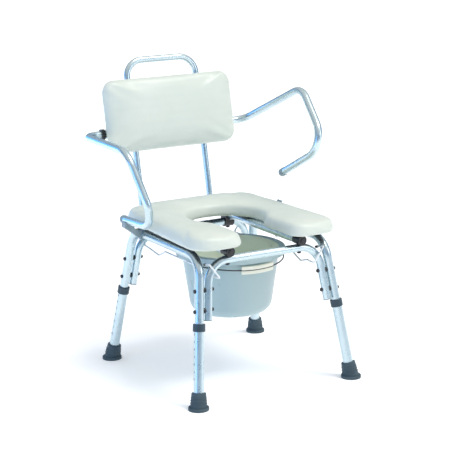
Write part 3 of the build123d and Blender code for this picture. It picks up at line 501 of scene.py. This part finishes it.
def make_foot_ribs():
    """Three moulded rings round each rubber foot's tapered body."""
    for corner in CORNERS:
        base, up = leg_line(corner)
        foot_height = max((p - base).dot(up) for p in node_points(f"rubber_foot_{corner}"))
        ribs = []
        for height in FOOT_RIB_HEIGHTS:
            centre = base + up * (height - base.z) / up.z
            share = (centre - base).dot(up) / foot_height
            tapered = FOOT_TAPER_START + share * (1 - FOOT_TAPER_START)
            radius = FOOT_BODY_LOW + (FOOT_BODY_HIGH - FOOT_BODY_LOW) * tapered
            ribs.append(torus_mesh("rib", centre, up, radius, FOOT_RIB_SIZE))
        name = f"foot_ribs_{corner}"
        add_piece(name, joined(ribs, name), "grey_rubber", f"leg_{corner}")


def bead_path(post, along, way, tube_centre, tube_radius):
    """The closed line where a post meets one side of the cross tube, with a slight ripple."""
    across = Vector((1, 0, 0))
    forward = along.cross(across)
    path = []
    for step in range(WELD_STEPS):
        turn = 2 * math.pi * step / WELD_STEPS
        start = post + (across * math.cos(turn) + forward * math.sin(turn)) * POST_RADIUS
        offset = start - tube_centre
        offset.x = 0
        half = offset.dot(along)
        inside = half * half - offset.length_squared + tube_radius * tube_radius
        ripple = WELD_RIPPLE * math.sin(WELD_RIPPLES * turn)
        path.append(start + along * (-half + way * (math.sqrt(max(inside, 0)) + ripple)))
    return path


def make_weld_beads():
    """A bead round each back post where it enters the arms' cross tube, above and below."""
    low, high = (Vector(corner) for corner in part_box("arm_pivot_tube"))
    tube_centre = (low + high) / 2
    tube_radius = (high.z - low.z) / 2
    rail_low, rail_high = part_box("seat_rail_left")
    post_x = (rail_low[0] + rail_high[0]) / 2
    along = Vector((0, BACK_SLOPE, 1)).normalized()
    beads = []
    for side in (-1, 1):
        post = Vector((side * post_x, tube_centre.y + POST_AT_PIVOT_Y, tube_centre.z))
        for way in (-1, 1):
            path = bead_path(post, along, way, tube_centre, tube_radius)
            beads.append(closed_tube("bead", path, WELD_SIZE))
    add_piece("post_weld_beads", joined(beads, "post_weld_beads"), "aluminium", "frame")


def make_button_rims():
    """A pressed rim round each snap button's hole in the lower leg."""
    for corner, (side, _) in CORNERS.items():
        low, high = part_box(f"leg_button_{corner}")
        outer = low[0] if side < 0 else high[0]
        centre = Vector((outer - side * BUTTON_PROUD, (low[1] + high[1]) / 2, (low[2] + high[2]) / 2))
        rim = torus_mesh("rim", centre, (side, 0, 0), BUTTON_RIM_RADIUS, BUTTON_RIM_SIZE, 32, 8)
        add_piece(f"button_rim_{corner}", rim, "aluminium", f"leg_{corner}")


def make_staples():
    """Staples that hold the seat's vinyl under its board, along both sides."""
    low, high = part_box("seat_board")
    length = high[1] - low[1]
    pitch = (length - 2 * STAPLE_MARGIN) / (STAPLE_COUNT - 1)
    size = Matrix.Diagonal((STAPLE_WIRE, STAPLE_LENGTH, STAPLE_WIRE, 1))
    shape = bmesh.new()
    for side in (-1, 1):
        for step in range(STAPLE_COUNT):
            from_front = STAPLE_MARGIN + step * pitch
            x = side * (high[0] - STAPLE_INSET - STAPLE_TAPER * from_front / length)
            place = Matrix.Translation((x, low[1] + from_front, low[2] - STAPLE_WIRE / 2))
            bmesh.ops.create_cube(shape, size=1.0, matrix=place @ size)
    mesh = bpy.data.meshes.new("seat_staples")
    shape.to_mesh(mesh)
    shape.free()
    staples = add_piece("seat_staples", mesh, "zinc", "frame")
    rounding = staples.modifiers.new("rounding", "BEVEL")
    rounding.width = STAPLE_ROUND
    rounding.segments = 2


# --- Stage --------------------------------------------------------------------------------------

FLOOR_SIZE = 60.0
FLOOR_GLOW = 0.22
WORLD_STRENGTH = 0.8
HORIZON = (0.10, 0.27, 0.50, 1.0)
OVERHEAD = (1.0, 0.99, 0.95, 1.0)
LIGHTS_AIM = (0, 0, 0.45)
KEY_DIRECTION = (-0.38, 0.45, -1.20)
KEY_STRENGTH = 1.75
KEY_SPREAD = math.radians(24)
KEY_COLOUR = (1.0, 0.98, 0.94)
CARD_COLOUR = (1.0, 0.99, 0.96)
COOL_COLOUR = (0.10, 0.40, 1.0)


def make_stage():
    """A plain pale floor under the chair, which glows a little."""
    bpy.ops.mesh.primitive_plane_add(size=FLOOR_SIZE, location=(0, 0, 0))
    floor = bpy.context.object
    floor.name = "floor"
    material, tree, shader, coords = new_material("floor_paint", (0.94, 0.94, 0.94), 0.8)
    shader.inputs["Emission Color"].default_value = (1.0, 1.0, 1.0, 1.0)
    shader.inputs["Emission Strength"].default_value = FLOOR_GLOW
    tone = blend_colours(tree, noise(tree, coords, 3.0), (0.94, 0.94, 0.94), (0.95, 0.95, 0.95))
    tree.links.new(tone, shader.inputs["Base Color"])
    floor.data.materials.append(material)


def add_light(data, name, way, place=(0, 0, 0)):
    """Links a light at a place, pointing along a way."""
    light = bpy.data.objects.new(name, data)
    light.location = place
    light.rotation_euler = Vector(way).to_track_quat("-Z", "Y").to_euler()
    bpy.context.scene.collection.objects.link(light)


def area_light(name, place, size, power, colour):
    """A soft square light at a place, turned to the middle of the chair."""
    data = bpy.data.lights.new(name, "AREA")
    data.size = size
    data.energy = power
    data.color = colour
    add_light(data, name, Vector(LIGHTS_AIM) - Vector(place), place)


def key_sun():
    """A wide, soft sun, so that the floor is as bright far away as it is near."""
    data = bpy.data.lights.new("key", "SUN")
    data.energy = KEY_STRENGTH
    data.angle = KEY_SPREAD
    data.color = KEY_COLOUR
    add_light(data, "key", KEY_DIRECTION)


def make_world():
    """White overhead, and blue towards the horizon, which the bright tubes reflect."""
    world = bpy.data.worlds.new("world")
    world.use_nodes = True
    tree = world.node_tree
    coords = tree.nodes.new("ShaderNodeTexCoord")
    parts = tree.nodes.new("ShaderNodeSeparateXYZ")
    ramp = tree.nodes.new("ShaderNodeValToRGB")
    ramp.color_ramp.elements[0].position = 0.08
    ramp.color_ramp.elements[0].color = HORIZON
    ramp.color_ramp.elements[1].position = 0.75
    ramp.color_ramp.elements[1].color = OVERHEAD
    tree.links.new(coords.outputs["Generated"], parts.inputs["Vector"])
    tree.links.new(parts.outputs["Z"], ramp.inputs["Fac"])
    tree.links.new(ramp.outputs["Color"], tree.nodes["Background"].inputs["Color"])
    tree.nodes["Background"].inputs["Strength"].default_value = WORLD_STRENGTH
    bpy.context.scene.world = world


def make_lights():
    """A high sun from the front, a white card in front, and cool cards at the left and rear."""
    key_sun()
    area_light("front_card", (2.2, -2.6, 1.7), 1.2, 16, CARD_COLOUR)
    area_light("cool_side", (-3.0, -0.4, 0.5), 1.5, 20, COOL_COLOUR)
    area_light("cool_rear", (-1.0, 3.2, 0.6), 1.5, 18, COOL_COLOUR)


bpy.context.scene.view_settings.view_transform = "Standard"
make_world()
make_camera()
make_stage()
make_lights()
dress_frame()
make_cushion("seat_cover", "seat_cushion", inset=0.004, rounds=45, cap=0.009, eased=8, held=on_seat_board)
make_cushion("back_cover", "back_cushion", inset=-0.007, rounds=5, cap=0.010, eased=9, held=on_back_board)
make_foot_ribs()
make_weld_beads()
make_button_rims()
make_staples()
